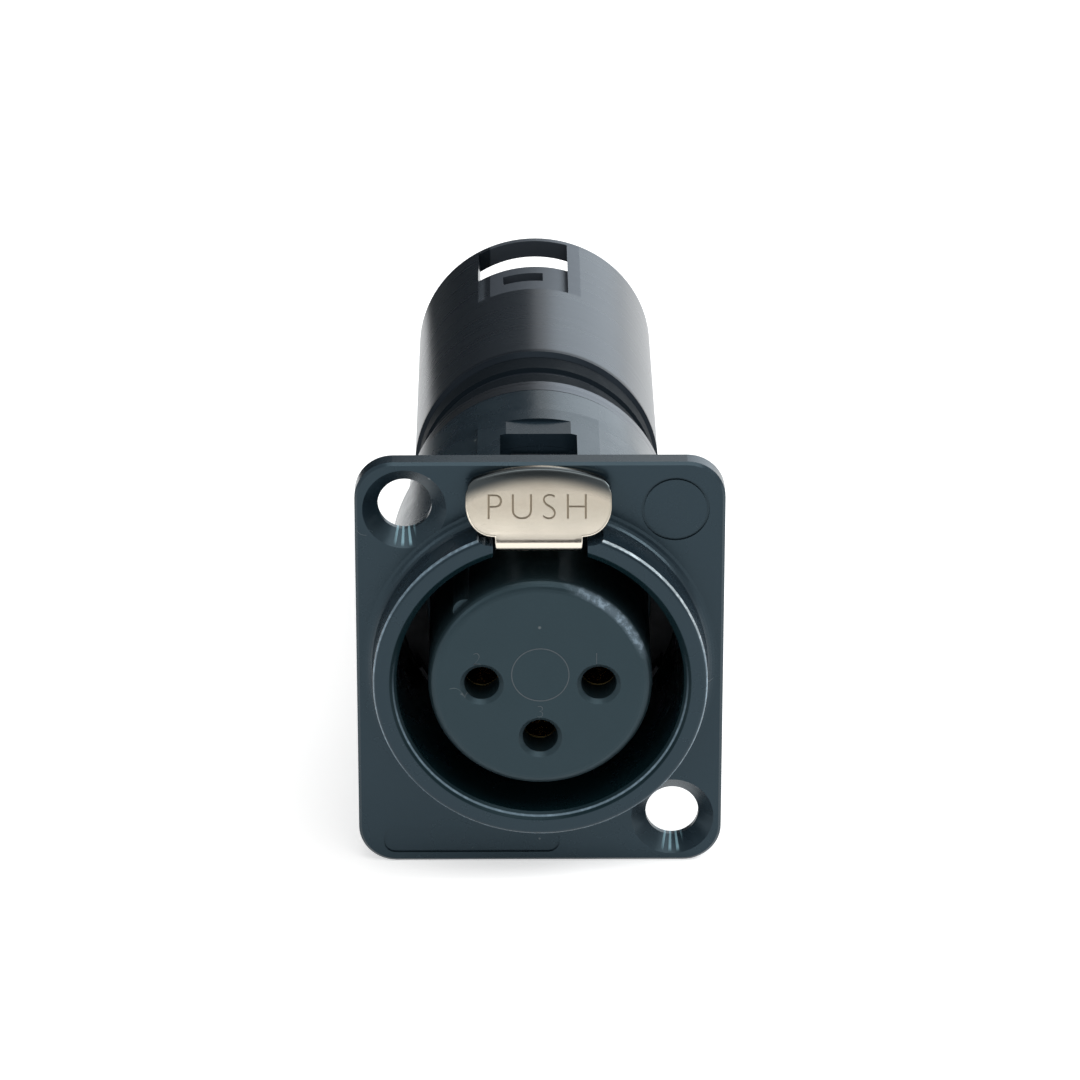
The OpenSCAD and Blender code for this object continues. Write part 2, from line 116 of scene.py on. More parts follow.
# Rings along the tab's rim, then rows and columns within them, so that its skin can curve
RINGS = (0.17, 0.16, 0.18, 0.2)
RINGS_W = 0.7
ROWS = 16
ROW_GAP = 0.2
COLUMNS = 7
COLUMN_GAP = 0.3

# The latch's neck, arm and hook, and the word on its tab
SHEET_T = 0.75
NECK_W = 6.1
NECK_END = -1.9
ARM_W = 4.8
ARM_Z = 10.375
ARM_END = 7.2
BEND_R = 0.875
BEND_TOP = ARM_Z - SHEET_T / 2 + BEND_R
BEND_STEPS = 8
HOOK_FRONT = 3.7
HOOK_BACK = 6.2
HOOK_DROP = 1.05
HOOK_SLOPE = 1.3
WORD_SIZE = 2.25
WORD_SPACING = 1.3
WORD_THIN = 0.048
WORD_DEPTH = 0.08
WORD_ABOVE = 0.3
WORD_W = 6.9
WORD_H = 1.5
WORD_X = -0.1
WORD_Z = 12.95


def set_camera():
    """Camera at the photograph's height, with the flange where the photograph has it."""
    target = Vector((0, FLANGE_Y * MM, 0))
    flat = math.cos(SIGHT_DOWN)
    back = Vector((-flat * math.sin(SIGHT_LEFT), -flat * math.cos(SIGHT_LEFT), math.sin(SIGHT_DOWN)))
    lift = math.atan((FLANGE_PX[1] - PHOTO_SIDE / 2) / FOCAL_PX)
    data = bpy.data.cameras.new("camera")
    data.sensor_width = SENSOR
    data.lens = FOCAL_PX * SENSOR / PHOTO_SIDE
    data.clip_start = 0.01
    data.clip_end = 20
    camera = bpy.data.objects.new("camera", data)
    scene.collection.objects.link(camera)
    camera.location = target + SIGHT_RANGE * back
    camera.rotation_euler = (math.pi / 2 - SIGHT_DOWN + lift, 0, -SIGHT_LEFT)
    scene.camera = camera


def area_light(name, place, size, power, tint):
    """Soft rectangular lamp at a place, turned to the part."""
    data = bpy.data.lights.new(name, "AREA")
    data.shape = "RECTANGLE"
    data.size, data.size_y = size
    data.energy = power
    data.color = tint
    lamp = bpy.data.objects.new(name, data)
    scene.collection.objects.link(lamp)
    lamp.location = place
    lamp.rotation_euler = (Vector(LAMP_AIM) - Vector(place)).to_track_quat("-Z", "Y").to_euler()


def set_lights():
    """Soft lamps: a key from the right, a cold one behind it, one overhead in front, a weak one from the left."""
    for lamp in LAMPS:
        area_light(*lamp)


def studio_card(name, corners):
    """Dark studio card that shapes reflections and isn't seen itself."""
    low, high = corners
    middle = [(a + b) / 2 for a, b in zip(low, high)]
    flat = low[2] == high[2]
    bpy.ops.object.select_all(action="DESELECT")
    turn = (0 if flat else math.pi / 2, 0, 0)
    bpy.ops.mesh.primitive_plane_add(size=1, location=middle, rotation=turn)
    card = bpy.context.object
    card.name = name
    card.scale = (high[0] - low[0], (high[1] - low[1]) if flat else (high[2] - low[2]), 1)
    card.visible_camera = False
    card.visible_diffuse = False
    card.visible_shadow = False
    made, tree, shader = new_material(name)
    shader.inputs["Base Color"].default_value = (0.01, 0.011, 0.012, 1)
    shader.inputs["Roughness"].default_value = 0.9
    card.data.materials.append(made)


def new_material(name):
    """Material with its node tree emptied down to a Principled shader and the output."""
    made = bpy.data.materials.new(name)
    made.use_nodes = True
    tree = made.node_tree
    tree.nodes.clear()
    out = tree.nodes.new("ShaderNodeOutputMaterial")
    shader = tree.nodes.new("ShaderNodeBsdfPrincipled")
    tree.links.new(shader.outputs["BSDF"], out.inputs["Surface"])
    return made, tree, shader


def set_world():
    """White behind what is looked at, a little less in reflections, and a soft grey light from all round."""
    world = bpy.data.worlds.new("studio")
    scene.world = world
    world.use_nodes = True
    tree = world.node_tree
    tree.nodes.clear()
    out = tree.nodes.new("ShaderNodeOutputWorld")
    shade = tree.nodes.new("ShaderNodeBackground")
    path = tree.nodes.new("ShaderNodeLightPath").outputs
    seen = math_node(tree, "MAXIMUM", path["Is Camera Ray"], path["Is Transmission Ray"])
    level = ramp_node(tree, path["Is Glossy Ray"], 0, 1, WORLD_DIFFUSE, WORLD_GLOSSY)
    tree.links.new(math_node(tree, "MAXIMUM", level, seen), shade.inputs["Strength"])
    shade.inputs["Color"].default_value = (1, 1, 1, 1)
    tree.links.new(shade.outputs["Background"], out.inputs["Surface"])


def set_floor():
    """Pale floor under the flange, which keeps the shadow and is white to the camera."""
    bpy.ops.object.select_all(action="DESELECT")
    bpy.ops.mesh.primitive_plane_add(size=6, location=(0, 0, FLOOR_Z * MM))
    floor = bpy.context.object
    floor.name = "floor"
    made = bpy.data.materials.new("floor_white")
    made.use_nodes = True
    tree = made.node_tree
    tree.nodes.clear()
    out = tree.nodes.new("ShaderNodeOutputMaterial")
    matt = tree.nodes.new("ShaderNodeBsdfDiffuse")
    matt.inputs["Color"].default_value = (0.86, 0.86, 0.86, 1)
    glow = tree.nodes.new("ShaderNodeEmission")
    glow.inputs["Color"].default_value = (1, 1, 1, 1)
    both = tree.nodes.new("ShaderNodeAddShader")
    path = tree.nodes.new("ShaderNodeLightPath").outputs
    seen = math_node(tree, "MAXIMUM", path["Is Camera Ray"], path["Is Glossy Ray"])
    tree.links.new(product(tree, seen, FLOOR_GLOW), glow.inputs["Strength"])
    tree.links.new(matt.outputs["BSDF"], both.inputs[0])
    tree.links.new(glow.outputs["Emission"], both.inputs[1])
    tree.links.new(both.outputs["Shader"], out.inputs["Surface"])
    floor.data.materials.append(made)


# Shared effects


def new_group(name, ins, outs):
    """Empty shader node group with float inputs and the named outputs."""
    group = bpy.data.node_groups.new(name, "ShaderNodeTree")
    for label, value in ins:
        socket = group.interface.new_socket(label, in_out="INPUT", socket_type="NodeSocketFloat")
        socket.default_value = value
    for label in outs:
        group.interface.new_socket(label, in_out="OUTPUT", socket_type="NodeSocketFloat")
    start = group.nodes.new("NodeGroupInput")
    end = group.nodes.new("NodeGroupOutput")
    return group, start, end


def math_node(tree, operation, *values):
    """Math node whose inputs are numbers or sockets."""
    made = tree.nodes.new("ShaderNodeMath")
    made.operation = operation
    for i, value in enumerate(values):
        if isinstance(value, (int, float)):
            made.inputs[i].default_value = value
        else:
            tree.links.new(value, made.inputs[i])
    return made.outputs[0]


def noise_node(tree, place, scale, detail=4.0, roughness=0.55):
    """Noise at a scale in cells per metre, or per the unit of place."""
    made = tree.nodes.new("ShaderNodeTexNoise")
    made.inputs["Detail"].default_value = detail
    made.inputs["Roughness"].default_value = roughness
    tree.links.new(place, made.inputs["Vector"])
    if isinstance(scale, (int, float)):
        made.inputs["Scale"].default_value = scale
    else:
        tree.links.new(scale, made.inputs["Scale"])
    return made.outputs["Fac"]


def ramp_node(tree, value, low, high, to_low=0.0, to_high=1.0):
    """Smooth step of a value between two levels."""
    made = tree.nodes.new("ShaderNodeMapRange")
    made.interpolation_type = "SMOOTHSTEP"
    made.inputs["From Min"].default_value = low
    made.inputs["From Max"].default_value = high
    made.inputs["To Min"].default_value = to_low
    made.inputs["To Max"].default_value = to_high
    tree.links.new(value, made.inputs["Value"])
    return made.outputs["Result"]


def vary(tree, noise, low, high):
    """A noise's usual span, spread over two levels."""
    return ramp_node(tree, noise, NOISE_LOW, NOISE_HIGH, low, high)


def product(tree, first, *others):
    """Product of masks and numbers."""
    for other in others:
        first = math_node(tree, "MULTIPLY", first, other)
    return first


def object_place(tree):
    """Place on the object, in metres."""
    return tree.nodes.new("ShaderNodeTexCoord").outputs["Object"]


def place_parts(tree):
    """X, Y and Z of the place on the object, in metres."""
    split = tree.nodes.new("ShaderNodeSeparateXYZ")
    tree.links.new(object_place(tree), split.inputs[0])
    return split.outputs["X"], split.outputs["Y"], split.outputs["Z"]


def radius_node(tree, across, up):
    """Distance from an axis along Y."""
    squares = math_node(tree, "ADD", product(tree, across, across), product(tree, up, up))
    return math_node(tree, "SQRT", squares)


def grain_group():
    """Fine grain of paint or moulded plastic: a height and a slow variation."""
    ins = [("Fine Scale", 9000.0), ("Slow Scale", 350.0)]
    group, start, end = new_group("surface_grain", ins, ["Height", "Variation"])
    place = object_place(group)
    fine = noise_node(group, place, start.outputs["Fine Scale"], 3.0, 0.6)
    slow = noise_node(group, place, start.outputs["Slow Scale"], 5.0, 0.6)
    group.links.new(fine, end.inputs["Height"])
    group.links.new(slow, end.inputs["Variation"])
    return group


def dust_group():
    """Small pale specks and short scratches, as a mask."""
    group, start, end = new_group("dust_specks", [("Scale", 700.0), ("Amount", 0.5)], ["Mask"])
    place = object_place(group)
    # A speck in the middle of few cells
    cells = group.nodes.new("ShaderNodeTexVoronoi")
    group.links.new(place, cells.inputs["Vector"])
    group.links.new(start.outputs["Scale"], cells.inputs["Scale"])
    cells.inputs["Randomness"].default_value = 1.0
    split = group.nodes.new("ShaderNodeSeparateColor")
    group.links.new(cells.outputs["Color"], split.inputs["Color"])
    rare = math_node(group, "GREATER_THAN", split.outputs["Red"], 0.955)
    specks = product(group, rare, ramp_node(group, cells.outputs["Distance"], 0.10, 0.02))
    # A scratch along a slow noise's middle level, in few patches
    warp = noise_node(group, place, 160.0, 2.0, 0.5)
    off_middle = math_node(group, "ABSOLUTE", math_node(group, "SUBTRACT", warp, 0.5))
    patch = ramp_node(group, noise_node(group, place, 520.0, 2.0, 0.5), 0.68, 0.72)
    scratches = product(group, ramp_node(group, off_middle, 0.0022, 0.0006), patch, 0.4)
    total = math_node(group, "MAXIMUM", specks, scratches)
    group.links.new(product(group, total, start.outputs["Amount"]), end.inputs["Mask"])
    return group


def band_group():
    """Band round the axis: between two radii and two places along Y, broken up by noise; it masks painted
    highlights, painted shade and a duller drum.
    """
    ins = [("Inner", 0.0), ("Outer", 1.0), ("Front", -1.0), ("Back", 1.0), ("Soft", 0.0001), ("Broken", 0.5)]
    group, start, end = new_group("round_band", ins, ["Mask"])
    x, y, z = place_parts(group)

    def inward(gap):
        share = math_node(group, "DIVIDE", gap, start.outputs["Soft"])
        return math_node(group, "MINIMUM", math_node(group, "MAXIMUM", share, 0.0), 1.0)

    def between(value, low, high):
        above = inward(math_node(group, "SUBTRACT", value, start.outputs[low]))
        below = inward(math_node(group, "SUBTRACT", start.outputs[high], value))
        return product(group, above, below)

    inside = between(radius_node(group, x, z), "Inner", "Outer")
    along = between(y, "Front", "Back")
    rough = ramp_node(group, noise_node(group, object_place(group), 1800.0, 6.0, 0.7), 0.45, 0.62)
    keep = math_node(group, "SUBTRACT", 1.0, start.outputs["Broken"])
    broken = math_node(group, "ADD", keep, product(group, rough, start.outputs["Broken"]))
    group.links.new(product(group, inside, along, broken), end.inputs["Mask"])
    return group


def turned_group():
    """Fine lines round the axis, left by turning, as a height."""
    group, start, end = new_group("turned_lines", [("Pitch Scale", 900.0)], ["Height"])
    stretch = group.nodes.new("ShaderNodeMapping")
    stretch.inputs["Scale"].default_value = (0.02, 1.0, 0.02)
    group.links.new(object_place(group), stretch.inputs["Vector"])
    line = noise_node(group, stretch.outputs["Vector"], start.outputs["Pitch Scale"], 5.0, 0.7)
    group.links.new(line, end.inputs["Height"])
    return group


def streak_group():
    """Streaks of light low in the two countersinks of the flange, as a mask."""
    group, start, end = new_group("cone_streaks", [], ["Mask"])
    x, _, z = place_parts(group)
    total = 0.0
    for side in (-1, 1):
        across = math_node(group, "SUBTRACT", x, side * SCREW_X * MM)
        up = math_node(group, "ADD", z, side * SCREW_Z * MM)
        radius = radius_node(group, across, up)
        past_hole = ramp_node(group, radius, 1.75 * MM, 1.9 * MM)
        on_cone = ramp_node(group, radius, 2.9 * MM, 2.6 * MM)
        low = ramp_node(group, up, -1.0 * MM, -1.9 * MM)
        narrow = ramp_node(group, math_node(group, "ABSOLUTE", across), 0.85 * MM, 0.45 * MM)
        wave = math_node(group, "SINE", product(group, math_node(group, "ARCTAN2", across, up), 30.0))
        mask = product(group, past_hole, on_cone, low, narrow, ramp_node(group, wave, 0.1, 0.7))
        total = math_node(group, "MAXIMUM", total, mask)
    group.links.new(total, end.inputs["Mask"])
    return group


GROUPS = {"grain": grain_group(), "dust": dust_group(), "band": band_group(), "turned": turned_group(),
          "streaks": streak_group()}


def place_group(tree, key, **values):
    """Put a shared effect in a material, with its own values, and give its outputs."""
    made = tree.nodes.new("ShaderNodeGroup")
    made.node_tree = GROUPS[key]
    for label, value in values.items():
        made.inputs[label.replace("_", " ")].default_value = value
    return made.outputs


def band_mask(tree, radii, along, soft, broken=0.0):
    """Mask of a band round the axis: its radii, its places along Y and its soft edge are in millimetres."""
    band = place_group(tree, "band", Inner=radii[0] * MM, Outer=radii[1] * MM, Front=along[0] * MM,
                       Back=along[1] * MM, Soft=soft * MM, Broken=broken)
    return band["Mask"]


def mix_color(tree, share, low, high):
    """Mix of two colours by a mask; each colour is a triple or a socket."""
    made = tree.nodes.new("ShaderNodeMix")
    made.data_type = "RGBA"
    tree.links.new(share, made.inputs["Factor"])
    for socket, value in ((made.inputs[6], low), (made.inputs[7], high)):
        if isinstance(value, tuple):
            socket.default_value = (*value, 1)
        else:
            tree.links.new(value, socket)
    return made.outputs[2]


def bump(tree, shader, height, strength, distance):
    """Feed a height into the shader's normal."""
    made = tree.nodes.new("ShaderNodeBump")
    made.inputs["Strength"].default_value = strength
    made.inputs["Distance"].default_value = distance
    tree.links.new(height, made.inputs["Height"])
    tree.links.new(made.outputs["Normal"], shader.inputs["Normal"])


# Materials


def black_paint():
    """Semi-gloss black paint on the casting: slight orange peel, dust, painted highlights along the collar's thin
    edges, and painted shade inside the socket, darker and with less sheen.
    """
    made, tree, shader = new_material("black_paint")
    grain = place_group(tree, "grain", Fine_Scale=2600.0, Slow_Scale=220.0)
    dust = place_group(tree, "dust", Scale=650.0, Amount=0.5)["Mask"]
    # Painted highlights: thin light lines on the collar's outer rim and on its inner lip
    rim = band_mask(tree, (11.66, 11.9), (-4.9, -4.45), 0.05, 0.5)
    lip = band_mask(tree, (10.3, 10.46), (-4.9, -4.3), 0.05, 0.35)
    # Painted shade inside the socket's bore: a darker colour and less sheen
    inside = band_mask(tree, (0, 10.66), (-4.95, 12), 0.05)
    drum = band_mask(tree, (10.7, 13), (0.1, 20), 0.05)
    streaks = place_group(tree, "streaks")["Mask"]
    x, _, z = place_parts(tree)
    # Painted highlight only on the lower part of the lip, and paler blue-white towards the upper right
    lip_low = product(tree, lip, ramp_node(tree, z, 3 * MM, -5 * MM))
    painted_edge_highlight = product(tree, math_node(tree, "MAXIMUM", rim, lip_low), 0.75)
    upper_right = ramp_node(tree, math_node(tree, "ADD", x, z), 13 * MM, 16 * MM)
    painted_highlight_tint = mix_color(tree, upper_right, (0.3, 0.41, 0.5), (0.75, 0.85, 0.9))
    tone = mix_color(tree, grain["Variation"], (0.008, 0.015, 0.022), (0.012, 0.022, 0.030))
    tone = mix_color(tree, dust, tone, (0.42, 0.45, 0.46))
    # Painted shade inside the bore
    tone = mix_color(tree, inside, tone, (0.004, 0.014, 0.018))
    # Painted highlight on the collar's edges
    tone = mix_color(tree, painted_edge_highlight, tone, painted_highlight_tint)
    tone = mix_color(tree, product(tree, streaks, 0.8), tone, (0.3, 0.5, 0.58))
    tree.links.new(tone, shader.inputs["Base Color"])
    shader.inputs["Specular Tint"].default_value = (0.6, 0.85, 1.0, 1)
    # Less sheen inside the bore is painted shade; the drum is a little duller
    painted_shade_and_dull_drum = math_node(tree, "ADD", product(tree, inside, -0.3), product(tree, drum, -0.06))
    tree.links.new(math_node(tree, "ADD", painted_shade_and_dull_drum, 0.46), shader.inputs["Specular IOR Level"])
    gloss = vary(tree, grain["Variation"], 0.22, 0.3)
    tree.links.new(math_node(tree, "ADD", gloss, product(tree, dust, 0.4)), shader.inputs["Roughness"])
    bump(tree, shader, grain["Height"], 0.1, 0.04 * MM)
    return made


def satin_black():
    """Satin black finish on the turned plug shell, lighter and duller in the recess round its window, with a painted
    highlight on the rim at its far end and painted shade, as less sheen, at its front end by the groove.
    """
    made, tree, shader = new_material("satin_black")
    lines = place_group(tree, "turned", Pitch_Scale=1500.0)["Height"]
    grain = place_group(tree, "grain", Fine_Scale=3500.0, Slow_Scale=180.0)
    # Painted highlight on the rim at the shell's far end
    rim = band_mask(tree, (9.0, 9.6), (60.9, 61.6), 0.08, 0.5)
    # Painted shade: less sheen at the shell's front end, by the groove
    front_edge = band_mask(tree, (0, 11), (20, 36.4), 0.4)
    x, y, z = place_parts(tree)
    recess = product(tree, math_node(tree, "LESS_THAN", math_node(tree, "ABSOLUTE", x), RECESS_HALF * MM),
                     math_node(tree, "GREATER_THAN", y, RECESS_Y * MM), math_node(tree, "GREATER_THAN", z, 0))
    tone = mix_color(tree, grain["Variation"], (0.008, 0.011, 0.015), (0.013, 0.017, 0.022))
    tone = mix_color(tree, product(tree, recess, 0.5), tone, (0.07, 0.08, 0.095))
    # Painted highlight on the far rim
    tone = mix_color(tree, product(tree, rim, 0.4), tone, (0.3, 0.33, 0.36))
    tree.links.new(tone, shader.inputs["Base Color"])
    # Painted shade by the groove, as less sheen
    level = math_node(tree, "SUBTRACT", 0.5, product(tree, front_edge, 0.42))
    tree.links.new(level, shader.inputs["Specular IOR Level"])
    shader.inputs["Specular Tint"].default_value = (0.6, 0.8, 1.0, 1)
    satin = vary(tree, lines, 0.27, 0.29)
    tree.links.new(math_node(tree, "ADD", satin, product(tree, recess, 0.15)), shader.inputs["Roughness"])
    bump(tree, shader, lines, 0.006, 0.03 * MM)
    return made


def bright_plate():
    """Dark satin plate on the ring behind the stepped part, with turning lines."""
    made, tree, shader = new_material("bright_plate")
    lines = place_group(tree, "turned", Pitch_Scale=2600.0)["Height"]
    grain = place_group(tree, "grain", Fine_Scale=4000.0, Slow_Scale=300.0)
    tone = mix_color(tree, grain["Variation"], (0.045, 0.055, 0.068), (0.07, 0.082, 0.1))
    tree.links.new(tone, shader.inputs["Base Color"])
    shader.inputs["Metallic"].default_value = 0.9
    tree.links.new(vary(tree, lines, 0.25, 0.33), shader.inputs["Roughness"])
    bump(tree, shader, lines, 0.06, 0.03 * MM)
    return made


def nickel_sheet():
    """Warm nickel plate on the pressed latch: satin and faintly stained, with painted light low down and a painted
    dark reflection under the crown.
    """
    made, tree, shader = new_material("nickel_sheet")
    grain = place_group(tree, "grain", Fine_Scale=6500.0, Slow_Scale=260.0)
    dust = place_group(tree, "dust", Scale=900.0, Amount=0.5)["Mask"]
    x, y, z = place_parts(tree)
    # Painted light: the tab is paler low down, towards its foot
    foot = ramp_node(tree, z, 13.3 * MM, 11.2 * MM)
    # Painted dark reflection: a dark band just under the crown, on the tab's front
    above_middle = math_node(tree, "ADD", z, -CROWN_Z * MM)
    below_crown = math_node(tree, "SUBTRACT", CROWN_R * MM, radius_node(tree, x, above_middle))
    in_front = ramp_node(tree, y, -1.85 * MM, -2.05 * MM)
    band = product(tree, ramp_node(tree, below_crown, 1.3 * MM, 0.35 * MM), in_front, 0.93)
    stains = ramp_node(tree, grain["Variation"], 0.35, 0.68)
    tone = mix_color(tree, stains, (0.53, 0.475, 0.39), (0.6, 0.55, 0.46))
    # Painted light low on the tab
    tone = mix_color(tree, foot, tone, (0.76, 0.7, 0.6))
    # Painted dark reflection under the crown
    tone = mix_color(tree, band, tone, (0.03, 0.045, 0.055))
    tone = mix_color(tree, dust, tone, (0.25, 0.2, 0.14))
    tree.links.new(tone, shader.inputs["Base Color"])
    shader.inputs["Metallic"].default_value = 1.0
    tree.links.new(vary(tree, grain["Variation"], 0.26, 0.18), shader.inputs["Roughness"])
    bump(tree, shader, grain["Height"], 0.1, 0.02 * MM)
    return made


def black_nylon():
    """Glass-filled black nylon, matt, with a painted highlight on the upper right of the socket insulator's rounded
    edge.
    """
    made, tree, shader = new_material("black_nylon")
    grain = place_group(tree, "grain", Fine_Scale=5200.0, Slow_Scale=420.0)
    dust = place_group(tree, "dust", Scale=520.0, Amount=0.45)["Mask"]
    # Painted highlight: a broken pale band on the insulator's rounded edge, only towards the upper right
    rim = band_mask(tree, (7.1, 7.9), (-4.95, -4.2), 0.22, 0.65)
    x, _, z = place_parts(tree)
    patch = product(tree, rim, ramp_node(tree, math_node(tree, "ADD", x, z), 8.9 * MM, 10.5 * MM))
    tone = mix_color(tree, grain["Variation"], (0.008, 0.016, 0.02), (0.013, 0.024, 0.029))
    # Painted highlight on the insulator's edge
    tone = mix_color(tree, patch, tone, (0.3, 0.39, 0.47))
    tone = mix_color(tree, dust, tone, (0.4, 0.42, 0.42))
    tree.links.new(tone, shader.inputs["Base Color"])
    shader.inputs["Specular Tint"].default_value = (0.58, 0.85, 1.0, 1)
    tree.links.new(vary(tree, grain["Variation"], 0.36, 0.46), shader.inputs["Roughness"])
    bump(tree, shader, grain["Height"], 0.25, 0.04 * MM)
    return made


def metal(name, low, high, roughness, metallic=1.0):
    """Plated or drawn metal with a slow change of tone and a fine grain."""
    made, tree, shader = new_material(name)
    grain = place_group(tree, "grain", Fine_Scale=6000.0, Slow_Scale=500.0)
    tree.links.new(mix_color(tree, grain["Variation"], low, high), shader.inputs["Base Color"])
    shader.inputs["Metallic"].default_value = metallic
    rough = vary(tree, grain["Variation"], roughness - 0.06, roughness + 0.06)
    tree.links.new(rough, shader.inputs["Roughness"])
    bump(tree, shader, grain["Height"], 0.12, 0.02 * MM)
    return made


def soft_skin(name, low, high, roughness, strength):
    """Rubber, soft nylon or an insulating sleeve: matt, with a fine grain and next to no sheen."""
    made, tree, shader = new_material(name)
    shader.inputs["IOR"].default_value = 1.15
    shader.inputs["Specular Tint"].default_value = (0.5, 0.75, 1.0, 1)
    grain = place_group(tree, "grain", Fine_Scale=4200.0, Slow_Scale=380.0)
    tree.links.new(mix_color(tree, grain["Variation"], low, high), shader.inputs["Base Color"])
    rough = vary(tree, grain["Variation"], roughness - 0.05, roughness + 0.05)
    tree.links.new(rough, shader.inputs["Roughness"])
    bump(tree, shader, grain["Height"], strength, 0.04 * MM)
    return made


def dress(names, material):
    """Give CAD nodes one material."""
    for name in names:
        data = nodes[name].data
        data.materials.clear()
        data.materials.append(material)


# Pieces


def start_piece(name):
    """Name the object that was just added, and edit it with nothing selected."""
    made = bpy.context.object
    made.name = name
    bpy.ops.object.mode_set(mode="EDIT")
    return made


def select_where(made, kind, wanted):
    """Select the vertices, edges or faces of a mesh whose middle passes a test."""
    bpy.ops.object.mode_set(mode="OBJECT")
    data = made.data
    for part in (data.vertices, data.edges, data.polygons):
        for item in part:
            item.select = False
    if kind == "VERT":
        for vertex in data.vertices:
            vertex.select = wanted(vertex.co)
    elif kind == "EDGE":
        for edge in data.edges:
            a, b = (data.vertices[i].co for i in edge.vertices)
            edge.select = wanted(a, b)
    else:
        for face in data.polygons:
            face.select = wanted(face.center, face.normal)
    bpy.ops.object.mode_set(mode="EDIT")
    bpy.ops.mesh.select_mode(type=kind)


def smooth(share):
    """Smooth step of a share that is held between 0 and 1."""
    share = min(max(share, 0.0), 1.0)
    return share * share * (3 - 2 * share)


def skin_y(z):
    """Place along Y of the tab's front skin at a height, in millimetres: the sheet bends about level lines."""
    drop = TAB_TOP - max(z, KNEE_Z)
    y = SKIN_TOP_Y
    for i in range(SKIN_STEPS):
        share = smooth((drop * (i + 0.5) / SKIN_STEPS - LEAN_FROM) / LEAN_OVER)
        lean = LEAN_TOP + (LEAN - LEAN_TOP) * share
        y -= math.tan(math.radians(lean)) * drop / SKIN_STEPS
    turn = (KNEE_Z - min(z, KNEE_Z)) / (KNEE_Z - BEND_TOP)
    return y - (KNEE_Z - BEND_TOP) * math.tan(math.radians(LEAN)) * (turn - turn * turn / 2)


def cut_outline(places):
    """Cut the face being edited to the inner side of each line: x and z in millimetres, angle in radians."""
    for x, z, angle in places:
        bpy.ops.mesh.select_all(action="SELECT")
        bpy.ops.mesh.bisect(plane_co=(x * MM, 0, z * MM), plane_no=(math.cos(angle), 0, math.sin(angle)),
                            clear_outer=True, threshold=TINY)


def tab_outline():
    """Lines that cut a disc to the tab: its sides, its foot and four rounded corners."""
    half = TAB_W / 2
    lines = [(half, 0, 0), (-half, 0, math.pi), (0, TAB_LOW, -math.pi / 2)]
    corners = ((HIGH_X, HIGH_Z, HIGH_TURN, HIGH_CORNER_R),
               (half - LOW_CORNER_R, TAB_LOW + LOW_CORNER_R, -math.pi / 2, LOW_CORNER_R))
    for i in range(1, CORNER_STEPS):
        for side in (1, -1):
            for x, z, turn, radius in corners:
                angle = turn * i / CORNER_STEPS
                across, up = math.cos(angle), math.sin(angle)
                lines.append((side * (x + radius * across), z + radius * up, math.atan2(up, side * across)))
    return lines


def extrude(x, y, z):
    """Run the selected edges or faces out along a line, in metres."""
    bpy.ops.mesh.extrude_region_move(TRANSFORM_OT_translate={"value": (x, y, z)})


